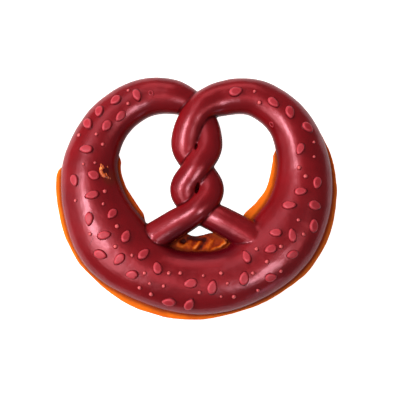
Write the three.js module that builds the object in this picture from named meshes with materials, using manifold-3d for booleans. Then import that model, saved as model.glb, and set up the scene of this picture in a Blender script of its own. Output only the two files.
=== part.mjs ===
// A moulded pretzel, lying flat: a glossy red upper layer in one continuous twisted rope, with flat
// seeds and small drops standing on it, over a thinner orange layer whose edge shows round the foot.
// Millimetres, +Z up. X runs across the two lobes, +Y points to the top of the lobes, z = 0 is the
// underside, and the origin is the middle of the underside's bounding box.

import * as THREE from 'three';
import { mergeVertices } from 'three/addons/utils/BufferGeometryUtils.js';
import Module from 'manifold-3d';

const wasm = await Module();
wasm.setup();

// ---- driving dimensions -------------------------------------------------------------------------

const baseHeight = 4;          // thickness of the orange layer
const baseChamfer = 0.6;       // its broken top and bottom edges
const domeShare = 0.86;        // the dome is at most this share of the red layer's height
const domeRound = 0.8;         // and at most this share of its half width, on an upright wall
const wallDraft = 0.25;        // how far that wall leans in
const domeSides = 11;          // facets over the dome
const ringTop = 14;            // height of the ring at its bottom, the thickest place
const lobeTop = 12.4;          // height of the two lobes
const twistTop = 12.2;         // height of a twisted strand between two crossings
const crossingLift = 1.6;      // a strand rises by this at a crossing, or dips by it
const legTop = 11.4;           // height at the end of the left leg, where it lies against the ring
const legRise = 1.4;           // the right leg ends this much higher
const legEndRound = 2.6;       // rounding of a leg's end
const legEndDegrees = [30, 50, 66, 80];   // the sections of that rounding, by their angle
const ringSteps = 5;           // sections between two stations of the ring
const twistSteps = 6;          // and between two stations of the twist
const firstTwistStation = 8;   // the crossing at the top, counted from 0 at the ring's bottom

// The rope's middle line, its width at the foot and its height: from the middle of the ring's bottom
// round each lobe, and down the twist to the end of the leg on the other side. The level is -1 where
// a strand passes under the other, and 1 where it passes over it.
const ringBottom = { x: 0.1, y: -34.3, width: 25.4, top: ringTop };
const ropeStations = {
  left: [
    { x: -17.2, y: -30.7, width: 25, top: ringTop },
    { x: -32.7, y: -18.5, width: 29.8, top: ringTop },
    { x: -40.9, y: -3, width: 26.2, top: ringTop - 0.3 },
    { x: -42.9, y: 14, width: 22, top: ringTop - 0.7 },
    { x: -35.6, y: 30.7, width: 18.4, top: lobeTop + 0.4 },
    { x: -22.7, y: 40.1, width: 16, top: lobeTop },
    { x: -9.7, y: 40.9, width: 13.8, top: lobeTop },
    { x: 0.3, y: 35.3, width: 10.4, top: twistTop, level: -1 },
    { x: 4.2, y: 21.3, width: 12, top: twistTop },
    { x: 0.1, y: 12.3, width: 11, top: twistTop, level: 1 },
    { x: -5, y: 2.7, width: 11.8, top: twistTop },
    { x: 0.3, y: -4.7, width: 10.4, top: twistTop, level: -1 },
    { x: 9.8, y: -9.6, width: 11.4, top: twistTop },
    { x: 22.3, y: -16.5, width: 12, top: legTop + legRise },
  ],
  right: [
    { x: 17.8, y: -30.7, width: 25, top: ringTop },
    { x: 32.8, y: -18, width: 28.4, top: ringTop },
    { x: 41, y: -3, width: 25.2, top: ringTop - 0.3 },
    { x: 42.6, y: 14, width: 21.4, top: ringTop - 0.7 },
    { x: 36.5, y: 31, width: 17.2, top: lobeTop + 0.4 },
    { x: 23.5, y: 40.5, width: 15, top: lobeTop },
    { x: 10.3, y: 40.3, width: 14, top: lobeTop },
    { x: 0.5, y: 35.1, width: 11.4, top: twistTop, level: 1 },
    { x: -4.4, y: 21.3, width: 12.2, top: twistTop },
    { x: 0.1, y: 12.3, width: 11, top: twistTop, level: -1 },
    { x: 4.8, y: 2.7, width: 11.8, top: twistTop },
    { x: 0.3, y: -5.1, width: 10.2, top: twistTop, level: 1 },
    { x: -8.6, y: -10.8, width: 11.4, top: twistTop },
    { x: -17.4, y: -16.1, width: 12, top: legTop },
  ],
};

// The strands are pressed together on solid ground along the twist's middle, with a pit on each side
// of the middle crossing.
const core = { x: 0.3, fromY: -4.7, toY: 35.1, width: 3, top: 8.4 };
const pits = [
  { x: -0.4, y: 20.2, turn: 74 },
  { x: 0, y: 2.9, turn: 76 },
];
const pitLength = 6.6;         // at the pit's upper edge, and its width there
const pitWidth = 2.4;
const pitTop = 11.2;
const pitBottom = 6;
const pitNarrowing = 0.4;      // its size at the bottom, as a share of that at the edge
const pitClearance = 2;        // the cutter goes on this far above the edge
const pitSides = 12;

// How far the orange layer's edge stands out past the foot of the red one, as pairs of the distance
// along the rope's middle line, from the middle of the ring's bottom, and the reach there. Below
// zero the orange stops short of the red, as it does under the lobes, the twist and the legs.
const overhangs = {
  left: {
    outer: [
      [0, 1.8], [10, 2.3], [18, 2.8], [34, 1.25], [42, 1.2], [48, 1.5], [54, 1.6], [60, 1.8],
      [66, 1.7], [70, -1.5],
    ],
    inner: [
      [0, 6.3], [9, 7.7], [16, 6.4], [25, 0.3], [32, 0], [40, 1.5], [50, 1.6], [60, 0.9], [74, 0.9],
      [80, -1.5],
    ],
  },
  right: {
    outer: [
      [0, 1.8], [16, 1], [30, 1.2], [42, 2.15], [52, 2.65], [64, 2.25], [74, 1.8], [84, 0.8],
      [92, -1.5],
    ],
    inner: [
      [0, 6.3], [12, 7.4], [19, 6.6], [27, 0.3], [34, 2.7], [42, 4.2], [52, 3.6], [62, 2.8], [74, 2.5],
      [81, 1.6], [87, -1.5],
    ],
  },
};

// Seeds lie in lanes along the ring. Across is the place over the ring's width, from -1 at the inner
// foot to 1 at the outer one, and each number is a seed's distance along the rope.
const seedLength = 5;
const seedWidth = 3.6;
const seedHeight = 1.1;        // relief above the surface
const seedSunk = 0.6;          // depth below it
const seedPointed = 0.35;      // how much it narrows at one end
const seedSides = 9;
const seedSizes = [0.9, 1.1];  // a seed's size is drawn from this range
const seedLanes = [
  { half: 'left', across: 0.62, along: [2, 9, 37.5, 65, 85] },
  { half: 'left', across: 0.32, along: [24, 31.5, 50, 76.5, 91.5, 98.5] },
  { half: 'left', across: 0.05, along: [3, 42, 58.5, 106.5] },
  { half: 'left', across: -0.26, along: [16.7, 25.6, 36.6, 47.7, 66.4, 88.4, 96.2] },
  { half: 'right', across: 0.55, along: [25.6, 37.4, 49, 84.5] },
  { half: 'right', across: 0.3, along: [5.2, 18.2, 42.6, 55.5, 64.2, 92.7] },
  { half: 'right', across: 0.02, along: [32.5, 59.8, 77.4, 99.7, 115.5] },
  { half: 'right', across: -0.27, along: [23.1, 38.9, 52.7] },
];
const dropCount = 40;
const dropRadius = 0.65;
const dropHeight = 0.5;
const dropSides = 5;
const dropSizes = [0.85, 1.15];
const dropNearest = 2.7;       // a drop lies from this far
const dropFarthest = 6.5;      // to this far from some seed's middle
const dropSpacing = 3;         // and at least this far from any other drop
const dropMargin = 0.8;        // no further across the ring than this
const dropRange = 108;         // and no further along it than this
const randomSeed = 41;
const drawFactor = 16807;      // each draw is the last one times this
const drawModulus = 2147483647;   // with what goes beyond this left off

// A seed or a drop has a rounded side and a flat top: shares of its height and its width.
const beadShoulder = { height: 0.45, width: 0.95 };
const beadFaceWidth = 0.6;
const slopeReach = 0.8;        // it leans as the surface does between places this far to each side
const castFrom = 50;           // a height above all surfaces

const chip = { along: 68, across: -0.62, length: 4.2, width: 3.2, depth: 0.9, sides: 8, bands: 6 };

const sliver = 0.002;          // facets closer than this are joined
const mergeDistance = 1e-4;

// ---- the rope ------------------------------------------------------------------------------------

const stationCount = ropeStations.left.length + 1;

function ropeHalf(half, otherHalf) {
  // one station of the other half keeps the ring smooth at its bottom
  const all = [ropeStations[otherHalf][0], ringBottom, ...ropeStations[half]];
  const tops = all.map((station) => station.top + (station.level ?? 0) * crossingLift);
  return {
    half,
    outwardSign: half === 'left' ? 1 : -1,
    route: new THREE.CatmullRomCurve3(all.map((station) => new THREE.Vector3(station.x, station.y, 0))),
    sizes: new THREE.CatmullRomCurve3(
      all.map((station, index) => new THREE.Vector3(station.width, tops[index], 0)),
      false,
      'catmullrom',
    ),
  };
}

// The rope at station number "at", which may fall between two stations.
function ropeAt(rope, at) {
  const t = (at + 1) / stationCount;
  const point = rope.route.getPoint(t);
  const tangent = rope.route.getTangent(t);
  const size = rope.sizes.getPoint(t);
  const halfWidth = size.x / 2;
  const height = size.y - baseHeight;
  const dome = Math.min(height * domeShare, halfWidth * domeRound);
  return {
    point,
    forward: new THREE.Vector3(tangent.x, tangent.y, 0).normalize(),
    outward: new THREE.Vector3(-tangent.y, tangent.x, 0).normalize().multiplyScalar(rope.outwardSign),
    halfWidth,
    dome,
    wall: height - dome,
  };
}

function ropeSections(rope) {
  const sections = [];
  let along = 0;
  for (let station = 0; station < stationCount - 1; station += 1) {
    const steps = station < firstTwistStation ? ringSteps : twistSteps;
    for (let step = 0; step < steps; step += 1) {
      sections.push(ropeAt(rope, station + step / steps));
    }
  }
  sections.push(ropeAt(rope, stationCount - 1));
  sections[0].outward.set(0, -1, 0);                         // the halves meet squarely at the bottom
  sections.forEach((section, index) => {
    if (index > 0) along += section.point.distanceTo(sections[index - 1].point);
    section.along = along;
  });
  return sections;
}

// The place on the rope at a distance along it and a share across it.
function placeOnRope(rope, along, across) {
  const next = rope.sections.findIndex((section) => section.along > along);
  const from = rope.sections[next - 1];
  const to = rope.sections[next];
  const share = (along - from.along) / (to.along - from.along);
  const halfWidth = THREE.MathUtils.lerp(from.halfWidth, to.halfWidth, share);
  const outward = from.outward.clone().lerp(to.outward, share).normalize();
  return {
    position: from.point.clone().lerp(to.point, share).addScaledVector(outward, across * halfWidth),
    outward,
  };
}

// ---- closed meshes and solids ---------------------------------------------------------------------

// Joins loops of equally many points into one closed mesh, with a flat cap on both ends.
function skin(loops) {
  const sides = loops[0].length;
  const positions = loops.flat().flatMap((point) => point.toArray());
  const index = [];
  for (let ring = 0; ring < loops.length - 1; ring += 1) {
    for (let side = 0; side < sides; side += 1) {
      const a = ring * sides + side;
      const b = ring * sides + ((side + 1) % sides);
      index.push(a, b, b + sides, a, b + sides, a + sides);
    }
  }
  const last = (loops.length - 1) * sides;
  for (let side = 1; side < sides - 1; side += 1) {
    index.push(0, side + 1, side);
    index.push(last, last + side, last + side + 1);
  }
  const geometry = new THREE.BufferGeometry();
  geometry.setAttribute('position', new THREE.Float32BufferAttribute(positions, 3));
  geometry.setIndex(index);
  return geometry;
}

function solidFrom(geometry, joinDistance = mergeDistance) {
  const bare = geometry.clone();
  bare.deleteAttribute('normal');
  bare.deleteAttribute('uv');
  const merged = mergeVertices(bare, joinDistance);
  const make = (triVerts) => new wasm.Manifold(new wasm.Mesh({
    numProp: 3,
    vertProperties: merged.attributes.position.array,
    triVerts,
  }));
  const triangles = Uint32Array.from(merged.index.array);
  const solid = make(triangles);
  return solid.volume() > 0 ? solid : make(triangles.reverse());
}

function geometryFrom(solid) {
  const mesh = solid.getMesh();
  const geometry = new THREE.BufferGeometry();
  geometry.setAttribute('position', new THREE.BufferAttribute(mesh.vertProperties, 3));
  geometry.setIndex(new THREE.BufferAttribute(mesh.triVerts, 1));
  return geometry;
}

// Closes slits thinner than the merge distance, and fills any sliver of a hollow that they leave.
function withoutSlivers(solid) {
  const bodies = solidFrom(geometryFrom(solid), sliver).decompose();
  return bodies.sort((a, b) => b.volume() - a.volume())[0];
}

// ---- the red layer ----------------------------------------------------------------------------------

function domeLoop(section, reach = 1, ahead = 0) {
  const loop = [];
  const halfWidth = section.halfWidth * reach;
  const shoulder = baseHeight + section.wall * reach;
  const place = (across, z) => loop.push(section.point.clone()
    .addScaledVector(section.outward, across)
    .addScaledVector(section.forward, ahead)
    .setZ(z));
  place(halfWidth, baseHeight);
  for (let side = 0; side <= domeSides; side += 1) {
    const angle = (Math.PI * side) / domeSides;
    place((halfWidth - wallDraft) * Math.cos(angle), shoulder + section.dome * reach * Math.sin(angle));
  }
  place(-halfWidth, baseHeight);
  return loop;
}

function ropeSolid(rope) {
  const loops = rope.sections.map((section) => domeLoop(section));
  const end = rope.sections.at(-1);
  for (const degrees of legEndDegrees) {
    const angle = THREE.MathUtils.degToRad(degrees);
    const shrink = 1 - (1 - Math.cos(angle)) * (legEndRound / end.halfWidth);
    loops.push(domeLoop(end, shrink, legEndRound * Math.sin(angle)));
  }
  return solidFrom(skin(loops));
}

function twistCore(bottom, top) {
  const box = new THREE.BoxGeometry(core.width, core.toY - core.fromY, top - bottom);
  box.translate(core.x, (core.fromY + core.toY) / 2, (bottom + top) / 2);
  return solidFrom(box);
}

function pitSolid(pit) {
  const depth = pitTop - pitBottom;
  const height = depth + pitClearance;
  const widening = 1 + ((1 - pitNarrowing) * pitClearance) / depth;
  const cone = new THREE.CylinderGeometry(widening / 2, pitNarrowing / 2, height, pitSides);
  cone.rotateX(Math.PI / 2);
  cone.scale(pitLength, pitWidth, 1);
  cone.rotateZ(THREE.MathUtils.degToRad(pit.turn));
  cone.translate(pit.x, pit.y, pitBottom + height / 2);
  return solidFrom(cone);
}

// ---- the orange layer --------------------------------------------------------------------------------

function overhang(pairs, along) {
  const next = pairs.findIndex(([at]) => at > along);
  if (next < 0) return pairs.at(-1)[1];
  const [fromAt, fromReach] = pairs[next - 1];
  const [toAt, toReach] = pairs[next];
  return THREE.MathUtils.lerp(fromReach, toReach, THREE.MathUtils.smoothstep(along, fromAt, toAt));
}

function slabLoop(rope, section) {
  const outer = section.halfWidth + overhang(overhangs[rope.half].outer, section.along);
  const inner = -section.halfWidth - overhang(overhangs[rope.half].inner, section.along);
  const corners = [
    [outer - baseChamfer, 0],
    [outer, baseChamfer],
    [outer, baseHeight - baseChamfer],
    [outer - baseChamfer, baseHeight],
    [inner + baseChamfer, baseHeight],
    [inner, baseHeight - baseChamfer],
    [inner, baseChamfer],
    [inner + baseChamfer, 0],
  ];
  return corners.map(([across, z]) => (
    section.point.clone().addScaledVector(section.outward, across).setZ(z)
  ));
}

function slabSolid(rope) {
  return solidFrom(skin(rope.sections.map((section) => slabLoop(rope, section))));
}

// ---- seeds and drops -----------------------------------------------------------------------------------

// Repeatable draws from 0 to 1, or between two limits.
function makeDraw(start) {
  let state = start;
  return () => {
    state = (state * drawFactor) % drawModulus;
    return state / drawModulus;
  };
}

function drawFrom(draw, [least, most]) {
  return least + (most - least) * draw();
}

// A low flat-topped bead: round, or drawn to a point at one end.
function bead(length, width, height, sunk, sides, pointed) {
  const loopAt = (z, share) => Array.from({ length: sides }, (_, side) => {
    const angle = (2 * Math.PI * side) / sides;
    const taper = 1 - (pointed * (1 + Math.cos(angle))) / 2;
    return new THREE.Vector3(
      (share * length * Math.cos(angle)) / 2,
      (share * width * Math.sin(angle) * taper) / 2,
      z,
    );
  });
  return skin([
    loopAt(-sunk, 1),
    loopAt(height * beadShoulder.height, beadShoulder.width),
    loopAt(height, beadFaceWidth),
  ]);
}

// Sets a bead on the surface: its own Z along the surface's normal, its length turned about that.
function setOn(surface, place, turn, geometry) {
  const caster = new THREE.Raycaster();
  const heightAt = (dx, dy) => {
    caster.set(new THREE.Vector3(place.x + dx, place.y + dy, castFrom), new THREE.Vector3(0, 0, -1));
    return caster.intersectObject(surface)[0].point.z;
  };
  const slopeX = (heightAt(slopeReach, 0) - heightAt(-slopeReach, 0)) / (2 * slopeReach);
  const slopeY = (heightAt(0, slopeReach) - heightAt(0, -slopeReach)) / (2 * slopeReach);
  const up = new THREE.Vector3(-slopeX, -slopeY, 1).normalize();
  const lean = new THREE.Quaternion().setFromUnitVectors(new THREE.Vector3(0, 0, 1), up);
  const spin = new THREE.Quaternion().setFromAxisAngle(new THREE.Vector3(0, 0, 1), turn);
  const at = new THREE.Vector3(place.x, place.y, heightAt(0, 0));
  const turned = new THREE.Matrix4().compose(at, lean.multiply(spin), new THREE.Vector3(1, 1, 1));
  return geometry.applyMatrix4(turned);
}

function seedPlaces(ropes) {
  return seedLanes.flatMap((lane) => lane.along.map((along) => (
    placeOnRope(ropes[lane.half], along, lane.across).position
  )));
}

function dropPlaces(ropes, seeds, draw) {
  const drops = [];
  while (drops.length < dropCount) {
    const rope = draw() < 0.5 ? ropes.left : ropes.right;    // either half is as likely
    const along = dropRange * draw();
    const across = drawFrom(draw, [-dropMargin, dropMargin]);
    const { position } = placeOnRope(rope, along, across);
    const toSeed = Math.min(...seeds.map((seed) => seed.distanceTo(position)));
    const toDrop = Math.min(Infinity, ...drops.map((drop) => drop.distanceTo(position)));
    if (toSeed > dropNearest && toSeed < dropFarthest && toDrop > dropSpacing) drops.push(position);
  }
  return drops;
}

// ---- the two layers, put together ------------------------------------------------------------------------

const ropes = { left: ropeHalf('left', 'right'), right: ropeHalf('right', 'left') };
for (const rope of Object.values(ropes)) {
  rope.sections = ropeSections(rope);
}

let red = ropeSolid(ropes.left).add(ropeSolid(ropes.right)).add(twistCore(baseHeight, core.top));
for (const pit of pits) {
  red = red.subtract(pitSolid(pit));
}
const surface = new THREE.Mesh(geometryFrom(red));
const draw = makeDraw(randomSeed);

const seeds = seedPlaces(ropes);
for (const place of seeds) {
  const size = drawFrom(draw, seedSizes);
  const seed = bead(seedLength * size, seedWidth * size, seedHeight, seedSunk, seedSides, seedPointed);
  red = red.add(solidFrom(setOn(surface, place, Math.PI * draw(), seed)));
}
for (const place of dropPlaces(ropes, seeds, draw)) {
  const width = 2 * dropRadius * drawFrom(draw, dropSizes);
  const drop = bead(width, width, dropHeight, dropHeight, dropSides, 0);
  red = red.add(solidFrom(setOn(surface, place, 0, drop)));
}

const chipPlace = placeOnRope(ropes.left, chip.along, chip.across).position;
const scoop = new THREE.SphereGeometry(0.5, chip.sides, chip.bands);
scoop.scale(chip.width, chip.length, 2 * chip.depth);
red = red.subtract(solidFrom(setOn(surface, chipPlace, 0, scoop)));

const orange = slabSolid(ropes.left).add(slabSolid(ropes.right)).add(twistCore(0, baseHeight));

function layer(name, solid, color, roughness) {
  const mesh = new THREE.Mesh(
    geometryFrom(withoutSlivers(solid)),
    new THREE.MeshStandardMaterial({ color, roughness, metalness: 0, flatShading: true }),
  );
  mesh.name = name;
  return mesh;
}

const pretzel = new THREE.Group();
pretzel.add(layer('red_layer', red, '#9c2b35', 0.3));
pretzel.add(layer('orange_layer', orange, '#f57a14', 0.7));

export default pretzel;
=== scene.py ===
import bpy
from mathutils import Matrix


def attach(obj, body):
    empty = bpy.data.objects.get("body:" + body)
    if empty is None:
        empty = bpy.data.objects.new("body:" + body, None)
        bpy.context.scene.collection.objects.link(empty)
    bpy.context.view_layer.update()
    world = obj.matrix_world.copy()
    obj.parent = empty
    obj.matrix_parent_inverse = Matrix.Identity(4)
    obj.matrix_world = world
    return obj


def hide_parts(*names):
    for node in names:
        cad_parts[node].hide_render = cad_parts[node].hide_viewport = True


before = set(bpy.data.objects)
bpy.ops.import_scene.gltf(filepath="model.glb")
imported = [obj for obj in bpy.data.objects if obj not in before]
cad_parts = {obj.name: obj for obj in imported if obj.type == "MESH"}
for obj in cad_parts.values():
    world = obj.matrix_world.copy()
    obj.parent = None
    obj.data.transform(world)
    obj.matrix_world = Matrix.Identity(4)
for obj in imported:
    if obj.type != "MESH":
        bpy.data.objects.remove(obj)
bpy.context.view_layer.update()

# A moulded pretzel lying flat: a glossy dark red rope, twisted in the middle, with seeds and drops
# standing on it, over a thinner orange layer. Sizes are in millimetres in the dictionaries, and
# times mm where they are used.

import math
import random

import bmesh
import bpy
from mathutils import Matrix, Vector

mm = 0.001


# helpers for working as by hand

def workOn(*objects):
    if bpy.context.object and bpy.context.object.mode != "OBJECT":
        bpy.ops.object.mode_set(mode="OBJECT")
    bpy.ops.object.select_all(action="DESELECT")
    for obj in objects:
        obj.select_set(True)
    bpy.context.view_layer.objects.active = objects[0]


def startEditing(obj, selectMode="VERT"):
    workOn(obj)
    bpy.ops.object.mode_set(mode="EDIT")
    bpy.ops.mesh.select_mode(type=selectMode)
    bpy.ops.mesh.select_all(action="DESELECT")


def selectPoints(obj, wanted):
    mesh = bmesh.from_edit_mesh(obj.data)
    for point in mesh.verts:
        point.select = wanted(point.co)
    mesh.select_flush_mode()
    bmesh.update_edit_mesh(obj.data)


def selectFaces(obj, wanted):
    mesh = bmesh.from_edit_mesh(obj.data)
    for face in mesh.faces:
        face.select = wanted(face.calc_center_median(), face.normal)
    mesh.select_flush_mode()
    bmesh.update_edit_mesh(obj.data)


def applyModifier(obj, kind, **settings):
    modifier = obj.modifiers.new(kind.lower(), kind)
    for setting, value in settings.items():
        setattr(modifier, setting, value)
    workOn(obj)
    bpy.ops.object.modifier_apply(modifier=modifier.name)


def joinInto(name, objects):
    workOn(*objects)
    bpy.ops.object.transform_apply(location=True, rotation=True, scale=True)
    bpy.ops.object.join()
    joined = bpy.context.object
    joined.name = joined.data.name = name
    return joined


def groupPoints(obj, name, wanted):
    workOn(obj)
    bpy.ops.object.vertex_group_add()
    obj.vertex_groups.active.name = name
    startEditing(obj)
    selectPoints(obj, wanted)
    bpy.ops.object.vertex_group_assign()
    bpy.ops.object.mode_set(mode="OBJECT")


def roughen(obj, group, size, strength):
    noise = bpy.data.textures.new("unevenness", "CLOUDS")
    noise.noise_scale = size * mm
    applyModifier(obj, "DISPLACE", texture=noise, texture_coords="LOCAL", strength=strength * mm,
                  mid_level=0.5, vertex_group=group)


def setPaintedLight(obj, values):
    # one number for each point, 0 where its material is darkest and 1 where it is lightest; it carries
    # painted shade in creases and beside the red layer, painted shade and highlight on the beads, and the
    # bubbles' even tone
    paintedLightAndTone = obj.data.attributes.new("paintedLightAndTone", "FLOAT", "POINT")
    paintedLightAndTone.data.foreach_set("value", values)


def smoothStep(low, high, value):
    share = min(1, max(0, (value - low) / (high - low)))
    return share * share * (3 - 2 * share)


# the rope's route and size

rope = {
    "footHeight": 4,            # the red layer stands on the orange one, which is as thick as this
    "crossingLift": 1.6,        # a strand rises or dips by this where two cross
    # x, y, width, top and level at a crossing, from the bottom middle round a side to the leg's end
    "bottom": (0.1, -34.3, 25.4, 14, 0),
    "left": [
        (-17.2, -30.7, 25, 14, 0),
        (-32.7, -18.5, 29.8, 14, 0),
        (-40.9, -3, 26.2, 13.7, 0),
        (-42.9, 14, 22, 13.3, 0),
        (-35.6, 30.7, 18.4, 12.8, 0),
        (-22.7, 40.1, 16, 12.4, 0),
        (-9.7, 40.9, 13.8, 12.4, 0),
        (0.3, 35.3, 10.4, 12.2, -1),
        (4.2, 21.3, 12, 12.2, 0),
        (0.1, 12.3, 11, 12.2, 1),
        (-5, 2.7, 11.8, 12.2, 0),
        (0.3, -4.7, 10.4, 12.2, -1),
        (9.8, -9.6, 11.4, 12.2, 0),
        (22.3, -16.5, 12, 12.8, 0),
    ],
    "right": [
        (17.8, -30.7, 25, 14, 0),
        (32.8, -18, 28.4, 14, 0),
        (41, -3, 25.2, 13.7, 0),
        (42.6, 14, 21.4, 13.3, 0),
        (36.5, 31, 17.2, 12.8, 0),
        (23.5, 40.5, 15, 12.4, 0),
        (10.3, 40.3, 14, 12.4, 0),
        (0.5, 35.1, 11.4, 12.2, 1),
        (-4.4, 21.3, 12.2, 12.2, 0),
        (0.1, 12.3, 11, 12.2, -1),
        (4.8, 2.7, 11.8, 12.2, 0),
        (0.3, -5.1, 10.2, 12.2, 1),
        (-8.6, -10.8, 11.4, 12.2, 0),
        (-17.4, -16.1, 12, 11.4, 0),
    ],
    "stepsPerStation": 12,
    "endRound": 2.6,            # rounding of the legs' ends, in sections at these angles
    "endAngles": (80, 62, 46, 32, 20, 8),
    "domeShare": 0.86,          # the dome's height: at most this share of the whole height
    "domeRound": 0.8,           # and at most this share of its half width; the rest is upright wall
}


def between(points, at, evenly):
    # a smooth curve through the points, with its speed by the points' distances or the same for all
    first = min(int(at), len(points) - 2)
    a = points[first - 1] if first > 0 else 2 * points[0] - points[1]
    b, c = points[first], points[first + 1]
    d = points[first + 2] if first + 2 < len(points) else 2 * points[-1] - points[-2]
    ab, bc, cd = (1, 1, 1) if evenly else [math.sqrt((q - p).length) for p, q in ((a, b), (b, c), (c, d))]
    slopeB = ((b - a) / ab - (c - a) / (ab + bc) + (c - b) / bc) * bc
    slopeC = ((c - b) / bc - (d - b) / (bc + cd) + (d - c) / cd) * bc
    t = at - first
    bend = (3 * (c - b) - 2 * slopeB - slopeC) * t ** 2
    return b + slopeB * t + bend + (2 * (b - c) + slopeB + slopeC) * t ** 3


def ropeSections():
    stations = rope["left"][::-1] + [rope["bottom"]] + rope["right"]
    route = [Vector(station[:2]) for station in stations]
    sizes = [Vector((width, top + level * rope["crossingLift"])) for x, y, width, top, level in stations]
    count = (len(stations) - 1) * rope["stepsPerStation"]
    bottom = count // 2
    sections = []
    along = 0
    for step in range(count + 1):
        at = step / rope["stepsPerStation"]
        place = between(route, at, False)
        width, top = between(sizes, at, True)
        if sections:
            along += (place - sections[-1]["place"]).length
        height = top - rope["footHeight"]
        dome = min(height * rope["domeShare"], width / 2 * rope["domeRound"])
        sections.append({"place": place, "halfWidth": width / 2, "wall": height - dome, "dome": dome,
                         "along": along})
    for section in sections:
        section["fromBottom"] = section["along"] - sections[bottom]["along"]
    return sections


def layPath(sections, height):
    places = [section["place"] for section in sections]
    places.insert(0, places[0] + (places[0] - places[1]).normalized() * rope["endRound"])
    places.append(places[-1] + (places[-1] - places[-2]).normalized() * rope["endRound"])
    curve = bpy.data.curves.new("ropePath", "CURVE")
    curve.dimensions = "3D"
    curve.twist_mode = "Z_UP"
    spline = curve.splines.new("POLY")
    spline.points.add(len(places) - 1)
    for point, place in zip(spline.points, places):
        point.co = (place.x * mm, place.y * mm, height * mm, 1)
    path = bpy.data.objects.new("ropePath", curve)
    bpy.context.scene.collection.objects.link(path)
    return path


def bendAlong(bar, path):
    applyModifier(bar, "CURVE", object=path, deform_axis="POS_X")
    bpy.data.objects.remove(path)


def extrudeBar(bar, slices):
    # each slice has its distance, its middle across, its shoulder's height, its half width and its
    # height above the shoulder
    startEditing(bar, "FACE")
    bpy.ops.mesh.select_all(action="SELECT")
    distance, middle, shoulder, halfWidth, height = slices[0]
    bpy.ops.transform.resize(value=(1, halfWidth * mm, height * mm), center_override=(0, 0, 0))
    bpy.ops.transform.translate(value=(0, middle * mm, shoulder * mm))
    for before, after in zip(slices, slices[1:]):
        step = [(new - old) * mm for new, old in zip(after[:3], before[:3])]
        bpy.ops.mesh.extrude_region_move(TRANSFORM_OT_translate={"value": step})
        bpy.ops.transform.resize(value=(1, after[3] / before[3], after[4] / before[4]),
                                 center_override=[part * mm for part in after[:3]])
    bpy.ops.mesh.select_all(action="SELECT")
    bpy.ops.mesh.normals_make_consistent(inside=False)
    bpy.ops.object.mode_set(mode="OBJECT")


# the red layer

redRope = {
    "sides": 44,
    "wallBelow": 2.5,           # the section's walls reach this many dome heights down, then are cut off
    "voxel": 0.36,
    "smoothing": 7,
    "keptFaces": 0.6,           # share of the faces that is kept; the flattest places lose the most
    "coreSize": (3, 41, 2.6),   # the strands are pressed together on this block
    "coreMiddle": (0.3, 15.2),
    # the holes between the strands: x, y, direction, length, width and lowest z
    "pits": [(-0.4, 20, 74, 5, 1.9, 9.8), (0, 2.9, 76, 6.2, 2.2, 8.4)],
    "pitTop": 13,               # the cutter goes up to here
    "pitRadii": (0.12, 0.55),   # at its lower and its upper end, as shares of its length and width
    "chipPlace": (-36.3, 9.7, 12.9),
    "chipSize": (2.4, 3.6, 2),
    "chipRoughness": 0.15,
    "chipSeed": 4,
    "softEnd": (25.3, -14.6, 9),    # the right leg melts into the ring here: x, y and lowest z
    "softReaches": [5.6, 4.6, 3.4],
    "softening": 14,
    "unevenness": (8, 0.28),    # slow swelling of the surface: its size and strength
    "shadedHollowness": (0, 0.05),       # how hollow the surface is where the painted crease shade starts and where it is darkest
    # the painted crease shade is spread over this many rings of neighbours
    "creaseShadeWidth": 5,
}


def standingDome():
    bpy.ops.mesh.primitive_circle_add(vertices=redRope["sides"], radius=1, fill_type="NGON",
                                      rotation=(0, math.radians(90), 0))
    bar = bpy.context.object
    workOn(bar)
    bpy.ops.object.transform_apply(rotation=True)
    startEditing(bar)
    selectPoints(bar, lambda place: place.z < -0.01)
    bpy.ops.transform.resize(value=(1, 1, 0), center_override=(0, 0, 0))
    bpy.ops.transform.translate(value=(0, 0, -redRope["wallBelow"]))
    bpy.ops.object.mode_set(mode="OBJECT")
    return bar


def cutFoot(bar):
    startEditing(bar)
    bpy.ops.mesh.select_all(action="SELECT")
    bpy.ops.mesh.bisect(plane_co=(0, 0, 0), plane_no=(0, 0, 1), clear_inner=True, use_fill=True)
    bpy.ops.mesh.select_all(action="SELECT")
    bpy.ops.mesh.normals_make_consistent(inside=False)
    bpy.ops.object.mode_set(mode="OBJECT")


def roundedEnd(section):
    # distances from the very end, and how much the section shrinks there
    radius = rope["endRound"]
    slices = []
    for angle in rope["endAngles"]:
        distance = radius * (1 - math.sin(math.radians(angle)))
        shrink = 1 - radius * (1 - math.cos(math.radians(angle))) / section["halfWidth"]
        slices.append((distance, shrink))
    return slices


def sliceOf(section, distance, shrink=1.0):
    lower = (section["wall"] + section["dome"]) * (1 - shrink)
    return (distance, 0, section["wall"] - lower / 2, section["halfWidth"] * shrink,
            section["dome"] - lower / 2)


def makeCore():
    sizeX, sizeY, sizeZ = [size * mm for size in redRope["coreSize"]]
    middle = Vector((*redRope["coreMiddle"], rope["footHeight"])) * mm
    middle.z += sizeZ / 2
    bpy.ops.object.select_all(action="DESELECT")
    bpy.ops.mesh.primitive_cube_add(size=1, location=middle)
    core = bpy.context.object
    core.scale = (sizeX, sizeY, sizeZ)
    return core


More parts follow.
